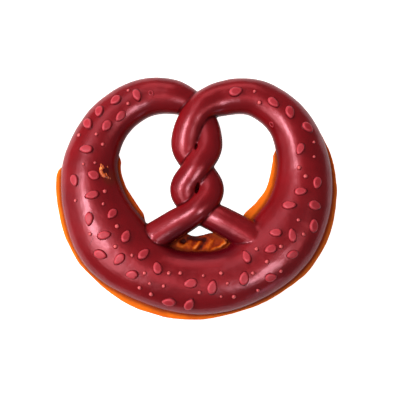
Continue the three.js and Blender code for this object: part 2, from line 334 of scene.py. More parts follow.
def cutPits(body):
    lowerRadius, upperRadius = redRope["pitRadii"]
    for x, y, turn, length, width, lowest in redRope["pits"]:
        bpy.ops.object.select_all(action="DESELECT")
        bpy.ops.mesh.primitive_cone_add(vertices=20, radius1=lowerRadius, radius2=upperRadius, depth=1)
        cutter = bpy.context.object
        startEditing(cutter)
        bpy.ops.mesh.select_all(action="SELECT")
        bpy.ops.transform.translate(value=(0, 0, 0.5))
        bpy.ops.transform.resize(value=(length * mm, width * mm, (redRope["pitTop"] - lowest) * mm),
                                 center_override=(0, 0, 0))
        bpy.ops.object.mode_set(mode="OBJECT")
        cutter.rotation_euler.z = math.radians(turn)
        cutter.location = (x * mm, y * mm, lowest * mm)
        applyModifier(body, "BOOLEAN", operation="DIFFERENCE", object=cutter, solver="EXACT")
        bpy.data.objects.remove(cutter)


def cutChip(body):
    bpy.ops.object.select_all(action="DESELECT")
    bpy.ops.mesh.primitive_ico_sphere_add(subdivisions=3, radius=0.5)
    cutter = bpy.context.object
    startEditing(cutter)
    bpy.ops.mesh.select_all(action="SELECT")
    bpy.ops.transform.resize(value=[size * mm for size in redRope["chipSize"]], center_override=(0, 0, 0))
    bpy.ops.transform.vertex_random(offset=redRope["chipRoughness"] * mm, seed=redRope["chipSeed"])
    bpy.ops.object.mode_set(mode="OBJECT")
    cutter.location = [part * mm for part in redRope["chipPlace"]]
    applyModifier(body, "BOOLEAN", operation="DIFFERENCE", object=cutter, solver="EXACT")
    bpy.data.objects.remove(cutter)


def softenEnd(body):
    x, y, lowest = redRope["softEnd"]
    startEditing(body)
    for reach in redRope["softReaches"]:
        selectPoints(body, lambda place: place.z > lowest * mm
                     and math.hypot(place.x - x * mm, place.y - y * mm) < reach * mm)
        bpy.ops.mesh.vertices_smooth(factor=0.5, repeat=redRope["softening"])
    bpy.ops.object.mode_set(mode="OBJECT")


def paintCreaseShade(body):
    # painted shade in creases: how far the surface round each point rises over it, evened out with its
    # neighbours
    mesh = bmesh.new()
    mesh.from_mesh(body.data)
    mesh.verts.ensure_lookup_table()
    around = [[edge.other_vert(point).index for edge in point.link_edges] for point in mesh.verts]
    hollow = []
    for point, others in zip(mesh.verts, around):
        offsets = [mesh.verts[other].co - point.co for other in others]
        hollow.append(sum(offset.normalized().dot(point.normal) for offset in offsets) / len(offsets))
    for step in range(redRope["creaseShadeWidth"]):
        hollow = [(own + sum(hollow[other] for other in others)) / (len(others) + 1)
                  for own, others in zip(hollow, around)]
    mesh.free()
    shallow, deep = redRope["shadedHollowness"]
    setPaintedLight(body, [1 - smoothStep(shallow, deep, value) for value in hollow])


def makeRedRope(sections):
    bar = standingDome()
    first, last = sections[0], sections[-1]
    total = last["along"] + 2 * rope["endRound"]
    slices = [sliceOf(first, distance, shrink) for distance, shrink in roundedEnd(first)]
    slices += [sliceOf(section, rope["endRound"] + section["along"]) for section in sections]
    slices += [sliceOf(last, total - distance, shrink) for distance, shrink in reversed(roundedEnd(last))]
    extrudeBar(bar, slices)
    cutFoot(bar)
    bendAlong(bar, layPath(sections, rope["footHeight"]))
    body = joinInto("red_rope", [bar, makeCore()])
    applyModifier(body, "REMESH", mode="VOXEL", voxel_size=redRope["voxel"] * mm)
    cutPits(body)
    cutChip(body)
    applyModifier(body, "REMESH", mode="VOXEL", voxel_size=redRope["voxel"] * mm)
    applyModifier(body, "SMOOTH", factor=0.5, iterations=redRope["smoothing"])
    softenEnd(body)
    roughen(body, "", *redRope["unevenness"])
    applyModifier(body, "DECIMATE", ratio=redRope["keptFaces"])
    paintCreaseShade(body)
    bpy.ops.object.shade_smooth()
    return body


# the orange layer

orangeBase = {
    "voxel": 0.55,
    "smoothing": 4,
    # how far it stands out past the red foot: distance from the ring's bottom middle, and the reach
    "leftOuter": [(0, 1.8), (10, 2.3), (18, 2.8), (34, 1.25), (42, 1.2), (48, 1.5), (54, 1.6),
                  (60, 1.8), (66, 1.7), (70, -1.5)],
    "leftInner": [(0, 6.3), (9, 7.7), (16, 6.4), (25, 0.3), (32, 0), (40, 1.5), (50, 1.6), (60, 0.9),
                  (74, 0.9), (80, -1.5)],
    "rightOuter": [(0, 1.8), (16, 1), (30, 1.2), (42, 2.15), (52, 2.65), (64, 2.25), (74, 1.8), (84, 0.8),
                   (92, -1.5)],
    "rightInner": [(0, 6.3), (12, 7.4), (19, 6.6), (27, 0.3), (34, 2.7), (42, 4.2), (52, 3.6),
                   (62, 2.8), (74, 2.5), (81, 1.6), (87, -1.5)],
    "shadedNearRed": (0.25, 1.5),     # painted shade next to the red layer: darkest this near to it, and none this far from it
    "unevenness": (5, 0.35),    # size and strength
    "unevenFrom": 0.7,          # its lower edge stays straight
    "ledge": (-12, 16, -23.5, -13.5),       # the crumpled part in the lower opening: x and y limits
    "ledgeFrom": 2,             # and lowest z
    "crumple": (1.6, 0.35),     # size and strength
    "foldHalfWidth": 0.3,
    "folds": [                  # rise, reach, and the points that a fold runs through
        (0.6, 1.2, (-8.1, -17.4), (-7.6, -19.1), (-6, -19.7), (-4.2, -18.8)),
        (-0.8, 1.3, (-6.3, -17.4), (-5.5, -17.6)),
        (0.7, 1.2, (1.3, -17.9), (0.2, -19), (-0.9, -20.2)),
        (0.35, 1.2, (-2.6, -17.6), (-3.2, -20)),
        (-0.35, 1.3, (3, -17), (1.9, -18.4), (1, -20.6)),
        (0.45, 1.4, (6, -17.4), (4.4, -19.8)),
        (-0.35, 1.3, (-3.4, -16.4), (3, -16.7)),
        (0.8, 0.9, (6.6, -21), (9, -20), (11.4, -18), (10.9, -16.6)),
    ],
}


def reachAt(pairs, along):
    for (nearAt, near), (farAt, far) in zip(pairs, pairs[1:]):
        if along < farAt:
            return near + (far - near) * smoothStep(nearAt, farAt, along)
    return pairs[-1][1]


def toLine(place, points):
    # distance from a place to a line of points, seen from above
    shortest = 1e9
    for start, end in zip(points, points[1:]):
        start, end = Vector(start) * mm, Vector(end) * mm
        share = (place.xy - start).dot(end - start) / (end - start).length_squared
        shortest = min(shortest, (place.xy - start.lerp(end, min(1, max(0, share)))).length)
    return shortest


def crumpleLedge(bar):
    left, right, near, far = [limit * mm for limit in orangeBase["ledge"]]
    lowest = orangeBase["ledgeFrom"] * mm
    halfWidth = orangeBase["foldHalfWidth"] * mm

    def onLedge(place):
        return left < place.x < right and near < place.y < far and place.z > lowest

    startEditing(bar, "FACE")
    selectFaces(bar, lambda middle, normal: onLedge(middle) and normal.z > 0.3)
    bpy.ops.mesh.subdivide(number_cuts=1)
    for rise, reach, *points in orangeBase["folds"]:
        bpy.ops.mesh.select_mode(type="VERT")
        selectPoints(bar, lambda place: place.z > lowest and toLine(place, points) < halfWidth)
        bpy.ops.transform.translate(value=(0, 0, rise * mm), use_proportional_edit=True,
                                    proportional_edit_falloff="SMOOTH", proportional_size=reach * mm)
    bpy.ops.object.mode_set(mode="OBJECT")
    groupPoints(bar, "ledge", onLedge)
    roughen(bar, "ledge", *orangeBase["crumple"])


def shadeByRed(bar, red):
    # painted shade on the orange, darkest where it meets the red layer
    near, far = [distance * mm for distance in orangeBase["shadedNearRed"]]
    gaps = [(red.closest_point_on_mesh(point.co)[1] - point.co).length for point in bar.data.vertices]
    setPaintedLight(bar, [smoothStep(near, far, gap) for gap in gaps])


def makeOrangeBase(sections, red):
    bpy.ops.object.select_all(action="DESELECT")
    bpy.ops.mesh.primitive_plane_add(size=2, rotation=(0, math.radians(90), 0))
    bar = bpy.context.object
    bpy.ops.object.transform_apply(rotation=True)
    startEditing(bar)
    bpy.ops.mesh.select_all(action="SELECT")
    bpy.ops.transform.resize(value=(1, 1, 0.5), center_override=(0, 0, 0))
    bpy.ops.transform.translate(value=(0, 0, 0.5))
    bpy.ops.object.mode_set(mode="OBJECT")
    slices = []
    for section in sections:
        side = "left" if section["fromBottom"] < 0 else "right"
        outer = section["halfWidth"] + reachAt(orangeBase[side + "Outer"], abs(section["fromBottom"]))
        inner = section["halfWidth"] + reachAt(orangeBase[side + "Inner"], abs(section["fromBottom"]))
        slices.append((rope["endRound"] + section["along"], (inner - outer) / 2, 0, (inner + outer) / 2,
                       rope["footHeight"]))
    extrudeBar(bar, slices)
    bendAlong(bar, layPath(sections, 0))
    applyModifier(bar, "REMESH", mode="VOXEL", voxel_size=orangeBase["voxel"] * mm)
    applyModifier(bar, "SMOOTH", factor=0.5, iterations=orangeBase["smoothing"])
    crumpleLedge(bar)
    groupPoints(bar, "upper", lambda place: place.z > orangeBase["unevenFrom"] * mm)
    roughen(bar, "upper", *orangeBase["unevenness"])
    bpy.ops.object.shade_smooth()
    shadeByRed(bar, red)
    bar.name = bar.data.name = "orange_base"
    return bar


# seeds and drops

seeds = {
    "sides": 24,
    "length": 5.1,
    "width": 3.7,
    "point": 0.3,               # how much it narrows towards its pointed end
    # its outline from the foot up: share of its width, height, and how light it is painted there, with
    # painted shade at the foot and a painted highlight on the shoulder
    "profile": [(1.2, -0.5, 0), (1.17, -0.2, 0), (1.02, 0.1, 0), (0.99, 0.3, 0.4), (0.95, 0.68, 0.8),
                (0.85, 0.93, 1), (0.65, 1.06, 0.9), (0.35, 1.08, 0.6)],
    "places": [                 # x, y and the way its point looks, in degrees
        (-24.1, 40.3, -69), (-32.6, 38.3, 225), (-39.1, 33.8, -93), (-30.6, 31.8, 230), (-43.6, 28.8, -60),
        (-36.1, 27.8, 236), (-44.1, 18.3, 180), (-41.1, 7.8, 160), (-48.6, 5.8, -73), (-41.6, -0.2, 195),
        (-42.6, -9.7, -90), (-33.6, -7.7, 230), (-36.6, -16.2, 10), (-28.1, -16.7, 68), (-38.1, -23.7, -17),
        (-30.6, -25.7, 226), (-21.1, -23.7, 44), (-25.6, -31.7, 180), (-15.6, -29.2, 105), (-2.6, -35.2, 190),
        (-11.1, -42.2, 180), (-3.1, -43.2, 60), (5.9, -36.7, 77), (19.4, -24.7, 112), (18.4, -33.2, 80),
        (28.9, -21.7, 200), (28.9, -32.7, 10), (37.4, -23.7, 200), (30.9, -15.2, 180), (37.4, -16.2, 100),
        (45.9, -12.2, 88), (36.4, -4.2, 0), (46.4, -4.2, -15), (40.9, 1.3, 5), (47.4, 4.8, -103),
        (40.9, 18.3, -110), (43.9, 27.3, -40), (36.9, 33.3, -78), (30.4, 37.3, -42), (15.4, 41.8, 15),
    ],
    "sizes": [(0.92, 1.1), (0.9, 1.1), (0.85, 1)],      # its length, width and height vary in these
    "randomSeed": 7,
}


def modelBead(values):
    # one seed or drop, from its outline
    sides = values["sides"]
    halfLength, halfWidth = values["length"] / 2 * mm, values["width"] / 2 * mm
    bpy.ops.object.select_all(action="DESELECT")
    bpy.ops.mesh.primitive_circle_add(vertices=sides, radius=1, fill_type="NGON")
    bead = bpy.context.object
    startEditing(bead)
    bpy.ops.mesh.select_all(action="SELECT")
    bpy.ops.transform.resize(value=(halfLength, halfWidth, 1), center_override=(0, 0, 0))
    for column in range(sides + 1):
        share = math.sin(math.pi * (column / sides - 0.5))
        selectPoints(bead, lambda place: abs(place.x / halfLength - share) < 0.01)
        narrower = 1 - values["point"] * ((1 + share) / 2) ** 2
        bpy.ops.transform.resize(value=(1, narrower, 1), center_override=(0, 0, 0))
    bpy.ops.mesh.select_mode(type="FACE")
    bpy.ops.mesh.select_all(action="SELECT")
    levels = [(width, height) for width, height, paintedLightAndTone in values["profile"]]
    width, height = levels[0]
    bpy.ops.transform.resize(value=(width, width, 1), center_override=(0, 0, 0))
    bpy.ops.transform.translate(value=(0, 0, height * mm))
    for (width, height), (nextWidth, nextHeight) in zip(levels, levels[1:]):
        step = (0, 0, (nextHeight - height) * mm)
        bpy.ops.mesh.extrude_region_move(TRANSFORM_OT_translate={"value": step})
        bpy.ops.transform.resize(value=(nextWidth / width, nextWidth / width, 1),
                                 center_override=(0, 0, nextHeight * mm))
    bpy.ops.mesh.select_all(action="SELECT")
    bpy.ops.mesh.normals_make_consistent(inside=False)
    bpy.ops.object.mode_set(mode="OBJECT")
    applyModifier(bead, "SUBSURF", levels=1, render_levels=1)
    bpy.ops.object.shade_smooth()

    def nearestPaintedLight(place):
        # the painted shade or highlight of the nearest ring of the outline
        away = math.hypot(place.x / halfLength, place.y / halfWidth)
        rings = [(abs(away - width) + abs(place.z / mm - height), paintedLightAndTone)
                 for width, height, paintedLightAndTone in values["profile"]]
        return min(rings)[1]

    setPaintedLight(bead, [nearestPaintedLight(point.co) for point in bead.data.vertices])
    return bead


def surfaceAt(body, x, y):
    # the surface's height at a place, and its normal smoothed over a small reach
    reach, above = 0.9, 50
    spots = [(x, y), (x + reach, y), (x - reach, y), (x, y + reach), (x, y - reach)]
    hits = [body.ray_cast(Vector((spotX * mm, spotY * mm, above * mm)), Vector((0, 0, -1)))
            for spotX, spotY in spots]
    normal = sum((hit[2] for hit in hits if hit[0]), Vector())
    return hits[0][1], normal.normalized()


def setOn(body, model, x, y, turn, size):
    place, normal = surfaceAt(body, x, y)
    lean = Vector((0, 0, 1)).rotation_difference(normal).to_matrix().to_4x4()
    spin = Matrix.Rotation(math.radians(turn), 4, "Z")
    copy = model.copy()
    copy.data = model.data.copy()
    copy.matrix_world = Matrix.Translation(place) @ lean @ spin @ Matrix.Diagonal((*size, 1))
    bpy.context.scene.collection.objects.link(copy)
    return copy


def makeSeeds(body):
    draw = random.Random(seeds["randomSeed"])
    model = modelBead(seeds)
    copies = []
    for x, y, turn in seeds["places"]:
        size = [draw.uniform(least, most) for least, most in seeds["sizes"]]
        copies.append(setOn(body, model, x, y, turn, size))
    bpy.data.objects.remove(model)
    return joinInto("seeds", copies)


drops = {
    "sides": 24,
    "length": 1.45,
    "width": 1.45,
    "point": 0,
    # the outline as for the seeds, with painted shade at the foot and a painted highlight on the top
    "profile": [(1.4, -0.3, 0), (1.32, -0.12, 0), (1.04, 0.08, 0), (0.93, 0.3, 0.6), (0.7, 0.52, 1),
                (0.35, 0.62, 1)],
    "places": [
        (-27.6, 42.3), (-27.6, 36.8), (-40.1, 24.3), (-47.1, 24.3), (-37.6, 20.3), (-40.6, 12.8),
        (-45.1, 12.3), (-36.6, 1.3), (-48.1, -2.2), (-37.1, -3.7), (-31.6, -12.7), (-42.1, -15.7),
        (-32.1, -20.7), (-25.6, -24.2), (-20.6, -31.2), (-18.6, -35.2), (-22.6, -36.7), (-18.1, -39.2),
        (-13.1, -36.2), (-11.1, -31.2), (-6.6, -31.2), (2.4, -32.2), (9.4, -31.2), (0.9, -38.7),
        (11.9, -35.2), (9.4, -40.2), (14.4, -40.2), (23.9, -37.7), (21.9, -31.2), (27.4, -26.7),
        (23.4, -21.7), (32.9, -20.7), (32.9, -30.2), (41.9, -15.7), (39.9, -10.2), (42.9, 7.3),
        (40.4, 10.8), (46.4, 15.3), (46.4, 21.3), (22.9, 41.8), (24.9, 37.3),
    ],
    "sizes": (0.75, 1.2),
    "randomSeed": 3,
    "bubbles": [(-18.5, 41.1), (29.8, 28.8)],   # burst bubbles, small raised rings
    "bubbleRadius": 0.75,
    "bubbleThickness": 0.22,
    "bubbleTurn": 30,
    "bubbleStretch": (1, 1.3, 1),
    "bubbleLightness": 0.5,
}


def modelBubble():
    bpy.ops.object.select_all(action="DESELECT")
    bpy.ops.mesh.primitive_torus_add(major_radius=drops["bubbleRadius"] * mm, major_segments=20,
                                     minor_radius=drops["bubbleThickness"] * mm, minor_segments=8)
    ring = bpy.context.object
    bpy.ops.object.shade_smooth()
    setPaintedLight(ring, [drops["bubbleLightness"]] * len(ring.data.vertices))
    return ring


def makeDrops(body):
    draw = random.Random(drops["randomSeed"])
    model, ring = modelBead(drops), modelBubble()
    copies = []
    for x, y in drops["places"]:
        size = draw.uniform(*drops["sizes"])
        copies.append(setOn(body, model, x, y, 0, (size, size, size)))
    for x, y in drops["bubbles"]:
        copies.append(setOn(body, ring, x, y, drops["bubbleTurn"], drops["bubbleStretch"]))
    bpy.data.objects.remove(model)
    bpy.data.objects.remove(ring)
    return joinInto("drops", copies)


# a chip in the red layer with its torn rim, and a scratch

chip = {
    "rimPlace": (-36.9, 9.6, 12),       # x, y and turn
    "rimRadius": 1.6,
    "rimThickness": 0.85,
    "rimStretch": (0.85, 1.25, 0.8),
    "rimOpens": 0.35,                   # it is cut off past this share of its radius
    "rimOpensTowards": (1, 0.35, 0),    # on the hole's side
    "rimRoughness": 0.28,
    "rimSeed": 9,
    # crumbs on the rim: x and y from its middle, and radius
    "crumbs": [(-0.9, 1.9, 0.8), (0.4, -2, 0.75), (1.4, -2.3, 0.65), (2.2, -2.7, 0.45), (2.1, 1.2, 0.4)],
    "scratch": (-41.7, -18.5, 60),      # x, y and turn
    "scratchSize": (3.4, 0.128, 0.12),
}


def placeOnce(name, body, model, x, y, turn):
    placed = setOn(body, model, x, y, turn, (1, 1, 1))
    bpy.data.objects.remove(model)
    workOn(placed)
    bpy.ops.object.transform_apply(location=True, rotation=True, scale=True)
    placed.name = placed.data.name = name
    return placed


def makeChipRim(body):
    bpy.ops.object.select_all(action="DESELECT")
    bpy.ops.mesh.primitive_torus_add(major_radius=chip["rimRadius"] * mm, major_segments=22,
                                     minor_radius=chip["rimThickness"] * mm, minor_segments=7)
    rim = bpy.context.object
    startEditing(rim)
    bpy.ops.mesh.select_all(action="SELECT")
    bpy.ops.mesh.bisect(plane_co=(chip["rimOpens"] * chip["rimRadius"] * mm, 0, 0),
                        plane_no=chip["rimOpensTowards"], clear_outer=True, use_fill=True)
    for x, y, size in chip["crumbs"]:
        bpy.ops.mesh.primitive_ico_sphere_add(subdivisions=1, radius=size * mm, location=(x * mm, y * mm, 0))
    bpy.ops.mesh.select_all(action="SELECT")
    bpy.ops.transform.vertex_random(offset=chip["rimRoughness"] * mm, seed=chip["rimSeed"])
    bpy.ops.transform.resize(value=chip["rimStretch"], center_override=(0, 0, 0))
    bpy.ops.mesh.normals_make_consistent(inside=False)
    bpy.ops.object.mode_set(mode="OBJECT")
    applyModifier(rim, "SUBSURF", levels=1, render_levels=1)
    bpy.ops.object.shade_smooth()
    return placeOnce("chip_rim", body, rim, *chip["rimPlace"])


def makeScratch(body):
    bpy.ops.object.select_all(action="DESELECT")
    bpy.ops.mesh.primitive_cylinder_add(vertices=12, radius=0.5, depth=1, rotation=(0, math.radians(90), 0))
    scratch = bpy.context.object
    bpy.ops.object.transform_apply(rotation=True)
    startEditing(scratch)
    bpy.ops.mesh.select_all(action="SELECT")
    bpy.ops.transform.resize(value=[size * mm for size in chip["scratchSize"]], center_override=(0, 0, 0))
    bpy.ops.object.mode_set(mode="OBJECT")
    return placeOnce("scratch", body, scratch, *chip["scratch"])


# materials

allHeights = 1e6                # a mask's half size that leaves height out of it


def newMaterial(name):
    material = bpy.data.materials.new(name)
    material.use_nodes = True
    nodes, links = material.node_tree.nodes, material.node_tree.links
    return material, nodes, links, nodes["Principled BSDF"]


def addNode(nodes, kind, **values):
    node = nodes.new(kind)
    for name, value in values.items():
        node.inputs[name].default_value = value
    return node


def addVectorMath(nodes, links, operation, first):
    node = nodes.new("ShaderNodeVectorMath")
    node.operation = operation
    links.new(first, node.inputs[0])
    return node


def makeToneGroup():
    # slow and fine unevenness, as two masks
    group = bpy.data.node_groups.new("unevenTone", "ShaderNodeTree")
    for name in ("Slow", "Fine"):
        group.interface.new_socket(name + " Scale", in_out="INPUT", socket_type="NodeSocketFloat")
        group.interface.new_socket(name, in_out="OUTPUT", socket_type="NodeSocketFloat")
    nodes, links = group.nodes, group.links
    inputs, outputs = nodes.new("NodeGroupInput"), nodes.new("NodeGroupOutput")
    place = nodes.new("ShaderNodeTexCoord")
    for name in ("Slow", "Fine"):
        noise = addNode(nodes, "ShaderNodeTexNoise", Detail=3)
        links.new(place.outputs["Object"], noise.inputs["Vector"])
        links.new(inputs.outputs[name + " Scale"], noise.inputs["Scale"])
        links.new(noise.outputs["Fac"], outputs.inputs[name])
    return group


def makeMaskGroup():
    # 1 within an ellipse round a place, going to 0 outside it, between two shares of its half sizes
    group = bpy.data.node_groups.new("ellipseMask", "ShaderNodeTree")
    for name in ("Middle", "Half Sizes"):
        group.interface.new_socket(name, in_out="INPUT", socket_type="NodeSocketVector")
    for name in ("Inner", "Outer"):
        group.interface.new_socket(name, in_out="INPUT", socket_type="NodeSocketFloat")
    group.interface.new_socket("Mask", in_out="OUTPUT", socket_type="NodeSocketFloat")
    nodes, links = group.nodes, group.links
    inputs, outputs = nodes.new("NodeGroupInput"), nodes.new("NodeGroupOutput")
    place = nodes.new("ShaderNodeTexCoord")
    offset = addVectorMath(nodes, links, "SUBTRACT", place.outputs["Object"])
    links.new(inputs.outputs["Middle"], offset.inputs[1])
    shrunk = addVectorMath(nodes, links, "DIVIDE", offset.outputs["Vector"])
    links.new(inputs.outputs["Half Sizes"], shrunk.inputs[1])
    away = addVectorMath(nodes, links, "LENGTH", shrunk.outputs["Vector"])
    falloff = addNode(nodes, "ShaderNodeMapRange", **{"To Min": 1, "To Max": 0})
    falloff.interpolation_type = "SMOOTHSTEP"
    links.new(away.outputs["Value"], falloff.inputs["Value"])
    links.new(inputs.outputs["Inner"], falloff.inputs["From Min"])
    links.new(inputs.outputs["Outer"], falloff.inputs["From Max"])
    links.new(falloff.outputs["Result"], outputs.inputs["Mask"])
    return group


def placeGroup(nodes, group, **values):
    placed = nodes.new("ShaderNodeGroup")
    placed.node_tree = group
    for name, value in values.items():
        placed.inputs[name].default_value = value
    return placed


def placeTone(nodes, scales):
    slow, fine = scales
    return placeGroup(nodes, unevenTone, **{"Slow Scale": slow, "Fine Scale": fine})


def placeMask(nodes, middle, halfSizes, inner, outer):
    mask = placeGroup(nodes, ellipseMask, **{"Middle": [part * mm for part in middle],
                                             "Half Sizes": [part * mm for part in halfSizes],
                                             "Inner": inner, "Outer": outer})
    return mask.outputs["Mask"]


def addRamp(nodes, links, fac, stops):
    ramp = nodes.new("ShaderNodeValToRGB")
    elements = ramp.color_ramp.elements
    while len(elements) < len(stops):
        elements.new(0.5)
    for element, (position, color) in zip(elements, stops):
        element.position = position
        element.color = (*color, 1)
    links.new(fac, ramp.inputs["Fac"])
    return ramp.outputs["Color"]


def addMix(nodes, links, fac, first, second):
    # from first to second, which are each a socket or a color
    mix = nodes.new("ShaderNodeMix")
    mix.data_type = "RGBA"
    links.new(fac, mix.inputs["Factor"])
    for name, value in (("A", first), ("B", second)):
        if isinstance(value, tuple):
            mix.inputs[name].default_value = (*value, 1)
        else:
            links.new(value, mix.inputs[name])
    return mix.outputs["Result"]


def addBump(nodes, links, shader, height, strengthAndDepth):
    strength, depth = strengthAndDepth
    bump = addNode(nodes, "ShaderNodeBump", Strength=strength, Distance=depth * mm)
    links.new(height, bump.inputs["Height"])
    links.new(bump.outputs["Normal"], shader.inputs["Normal"])


def readPaintedLight(nodes):
    # reads the number that carries painted shade, painted highlight and tone
    paintedLightAndTone = nodes.new("ShaderNodeAttribute")
    paintedLightAndTone.attribute_name = "paintedLightAndTone"
    return paintedLightAndTone.outputs["Fac"]


glaze = {
    "toneScales": (90, 900),
    "toneStops": [(0.3, (0.115, 0.002, 0.004)), (0.5, (0.148, 0.003, 0.005)), (0.72, (0.175, 0.004, 0.007))],
    "paintedCreaseShade": (0.045, 0.0007, 0.0015),      # painted shade: the color in a crease
    # darker places, painted shade and a stain: middle, half sizes, from where to where the color goes over,
    # and the color
    "paintedShadeAndStain": [
        # painted shade on the walls of the lower opening, a stain by the chip, and painted shade on the
        # chip's hollow ground
        ((1.5, -19.2, 0), (15.5, 8, allHeights), 0.75, 1.2, (0.07, 0.001, 0.004)),
        ((-34.6, 7.2, 0), (4.2, 4.6, allHeights), 0.3, 1, (0.12, 0.012, 0.003)),
        ((-36.2, 9.7, 0), (1.4, 1.9, allHeights), 0.6, 1, (0.05, 0.004, 0.002)),
    ],
    "roughness": 0.25,
    "specular": (0.2, 0.7),     # in the painted crease shade, and on open ground
    "specularTint": (1, 0.42, 0.52, 1),
    "bump": (0.25, 0.12),       # strength and depth
}


def makeGlaze(name):
    material, nodes, links, shader = newMaterial(name)
    tone = placeTone(nodes, glaze["toneScales"])
    paintedLightAndTone = readPaintedLight(nodes)
    color = addRamp(nodes, links, tone.outputs["Slow"], glaze["toneStops"])
    # painted shade darkens the creases
    color = addMix(nodes, links, paintedLightAndTone, glaze["paintedCreaseShade"], color)
    # painted shade on the opening's walls and the chip's ground, and the stain by the chip
    for middle, halfSizes, inner, outer, shade in glaze["paintedShadeAndStain"]:
        color = addMix(nodes, links, placeMask(nodes, middle, halfSizes, inner, outer), color, shade)
    links.new(color, shader.inputs["Base Color"])
    creased, clear = glaze["specular"]
    specular = addNode(nodes, "ShaderNodeMapRange", **{"To Min": creased, "To Max": clear})
    links.new(paintedLightAndTone, specular.inputs["Value"])
    links.new(specular.outputs["Result"], shader.inputs["Specular IOR Level"])
    addBump(nodes, links, shader, tone.outputs["Fine"], glaze["bump"])
    shader.inputs["Roughness"].default_value = glaze["roughness"]
    shader.inputs["Specular Tint"].default_value = glaze["specularTint"]
    return material


beadFinish = {
    # colors by the painted shade and highlight that each bead's outline gives: dark at the foot, light on the
    # shoulder or top
    "seedStops": [(0, (0.06, 0.001, 0.003)), (0.3, (0.14, 0.004, 0.008)), (0.5, (0.28, 0.016, 0.024)),
                  (0.75, (0.34, 0.028, 0.04)), (1, (0.4, 0.045, 0.058))],
    "dropStops": [(0, (0.07, 0.001, 0.004)), (0.3, (0.16, 0.005, 0.01)), (0.6, (0.34, 0.03, 0.04)),
                  (1, (0.54, 0.11, 0.11))],
    "roughness": 0.4,
    "specular": 0.45,
    "specularTint": (1, 0.5, 0.6, 1),
}


def makeBeadFinish(name, stops):
    material, nodes, links, shader = newMaterial(name)
    links.new(addRamp(nodes, links, readPaintedLight(nodes), stops), shader.inputs["Base Color"])
    shader.inputs["Roughness"].default_value = beadFinish["roughness"]
    shader.inputs["Specular IOR Level"].default_value = beadFinish["specular"]
    shader.inputs["Specular Tint"].default_value = beadFinish["specularTint"]
    return material


tornFinish = {
    "toneScales": (700, 1500),
    "toneStops": [(0.36, (0.22, 0.03, 0.004)), (0.48, (0.78, 0.18, 0.02)), (0.62, (0.9, 0.38, 0.1))],
    "roughness": 0.5,
}


def makeTorn(name):
    material, nodes, links, shader = newMaterial(name)
    tone = placeTone(nodes, tornFinish["toneScales"])
    color = addRamp(nodes, links, tone.outputs["Slow"], tornFinish["toneStops"])
    links.new(color, shader.inputs["Base Color"])
    shader.inputs["Roughness"].default_value = tornFinish["roughness"]
    return material


scratchFinish = {
    "color": (0.06, 0.02, 0.03, 1),
    "roughness": 0.6,
}


def makeScratchFinish(name):
    material, nodes, links, shader = newMaterial(name)
    shader.inputs["Base Color"].default_value = scratchFinish["color"]
    shader.inputs["Roughness"].default_value = scratchFinish["roughness"]
    return material


orangeFinish = {
    "toneScales": (120, 700),
    "toneStops": [(0.35, (0.72, 0.138, 0.003)), (0.6, (0.93, 0.218, 0.004))],
    "brown": (0.66, 0.21, 0.014),           # towards the lower right
    "brownTowards": (1, -0.6, 0),
    "brownBetween": (30, 54),               # from this far that way to this far
    "dull": (0.7, 0.12, 0.002),             # in the left opening: middle, half sizes and falloff
    "dullPlace": ((-22, 2, 0), (9, 12, allHeights), 0.7, 1.1),
    "paintedContactShade": (0.3, 0.05, 0.003),            # painted shade next to the red layer
    # the ledge is painted darker and browner as shade, darkest in its hollows, and golden on its folds as a
    # painted highlight
    "ledgePlace": ((1.5, -19, 4), (13, 6, 10), 0.85, 1.05),
    "ledgeHeights": (3.4, 5),
    "ledgeStops": [(0.1, (0.05, 0.003, 0.001)), (0.3, (0.24, 0.022, 0.001)), (0.5, (0.48, 0.065, 0.001)),
                   (0.75, (0.75, 0.17, 0.006)), (1, (0.9, 0.42, 0.16))],
    "roughness": 0.65,
    "specular": 0.08,
    "bump": (0.5, 0.3),
}


def addShare(nodes, links, value, nearest, farthest):
    # how far a length has come between two others, from 0 to 1
    share = addNode(nodes, "ShaderNodeMapRange", **{"From Min": nearest * mm, "From Max": farthest * mm})
    links.new(value, share.inputs["Value"])
    return share.outputs["Result"]


def makeOrange(name):
    material, nodes, links, shader = newMaterial(name)
    tone = placeTone(nodes, orangeFinish["toneScales"])
    place = nodes.new("ShaderNodeTexCoord").outputs["Object"]
    color = addRamp(nodes, links, tone.outputs["Slow"], orangeFinish["toneStops"])
    slope = addVectorMath(nodes, links, "DOT_PRODUCT", place)
    slope.inputs[1].default_value = orangeFinish["brownTowards"]
    lowerRight = addShare(nodes, links, slope.outputs["Value"], *orangeFinish["brownBetween"])
    color = addMix(nodes, links, lowerRight, color, orangeFinish["brown"])
    color = addMix(nodes, links, placeMask(nodes, *orangeFinish["dullPlace"]), color, orangeFinish["dull"])
    parts = nodes.new("ShaderNodeSeparateXYZ")
    links.new(place, parts.inputs["Vector"])
    # painted shade low on the ledge and a painted highlight high on its folds, by height
    level = addShare(nodes, links, parts.outputs["Z"], *orangeFinish["ledgeHeights"])
    ledgeShadeAndHighlight = addRamp(nodes, links, level, orangeFinish["ledgeStops"])
    color = addMix(nodes, links, placeMask(nodes, *orangeFinish["ledgePlace"]), color, ledgeShadeAndHighlight)
    # painted shade next to the red layer
    color = addMix(nodes, links, readPaintedLight(nodes), orangeFinish["paintedContactShade"], color)
    links.new(color, shader.inputs["Base Color"])
    addBump(nodes, links, shader, tone.outputs["Fine"], orangeFinish["bump"])
    shader.inputs["Roughness"].default_value = orangeFinish["roughness"]
    shader.inputs["Specular IOR Level"].default_value = orangeFinish["specular"]
    return material


# floor, light and camera

